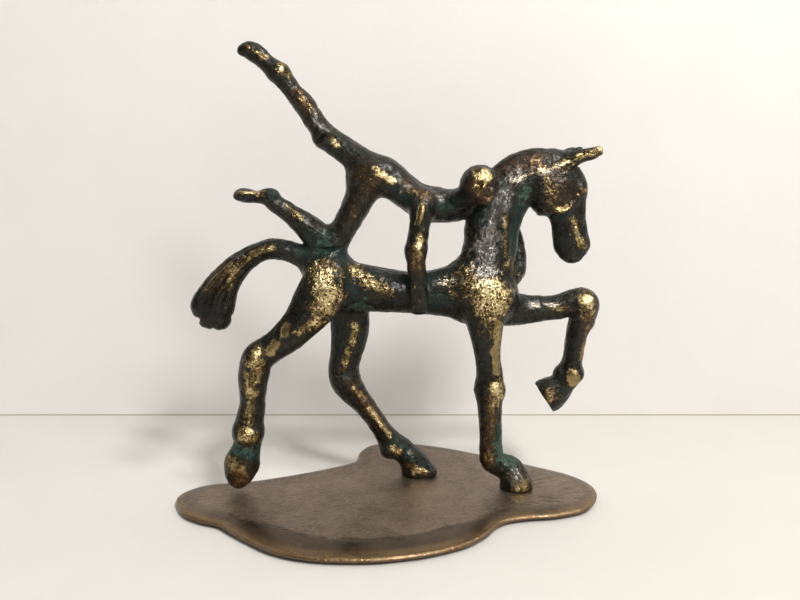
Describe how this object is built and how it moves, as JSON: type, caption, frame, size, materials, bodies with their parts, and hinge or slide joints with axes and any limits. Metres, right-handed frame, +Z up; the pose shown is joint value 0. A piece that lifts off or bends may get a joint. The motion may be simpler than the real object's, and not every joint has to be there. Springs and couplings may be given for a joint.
{
  "type": "bronze statuette on display plinth",
  "caption": "Rough cast bronze of a walking horse with a vaulting acrobat kneeling on its rump, one leg flung high, screwed to a thin free-form display plinth with a rolled-over edge.",
  "frame": {"origin": "on the underside of the felt underlay, under the middle of the plinth", "axes": "+X the way the horse walks, +Y from the horse's right flank to its left flank, +Z up"},
  "size_m": [0.2635, 0.1751, 0.2792],
  "materials": {
    "statuette_bronze": "dark green-black patina, rubbed back to gold on the high spots",
    "plinth_bronze": "waxed chocolate-brown patina",
    "felt": "dark green felt",
    "dowel_brass": "drawn brass rod",
    "screw_steel": "plain steel"
  },
  "bodies": {
    "root": {"horse_trunk": "statuette_bronze", "horse_neck": "statuette_bronze", "horse_head": "statuette_bronze", "horse_tail": "statuette_bronze", "horse_foreleg_right": "statuette_bronze", "horse_foreleg_left": "statuette_bronze", "horse_hind_leg_right": "statuette_bronze", "horse_hind_leg_left": "statuette_bronze", "acrobat_torso": "statuette_bronze", "acrobat_head": "statuette_bronze", "acrobat_arm_right": "statuette_bronze", "acrobat_arm_left": "statuette_bronze", "acrobat_leg_right_kneeling": "statuette_bronze", "acrobat_leg_left_raised": "statuette_bronze", "plinth_plate": "plinth_bronze", "plinth_felt_underlay": "felt", "screw_foreleg_right": "screw_steel", "screw_hind_leg_left": "screw_steel", "dowel_neck": "dowel_brass", "dowel_head": "dowel_brass", "dowel_tail": "dowel_brass", "dowel_foreleg_right": "dowel_brass", "dowel_foreleg_left": "dowel_brass", "dowel_hind_leg_right": "dowel_brass", "dowel_hind_leg_left": "dowel_brass", "dowel_acrobat_knee": "dowel_brass", "dowel_acrobat_leg_right": "dowel_brass", "dowel_acrobat_leg_left": "dowel_brass", "dowel_acrobat_arm_right": "dowel_brass", "dowel_acrobat_arm_left": "dowel_brass", "dowel_acrobat_head": "dowel_brass"}
  },
  "joints": []
}
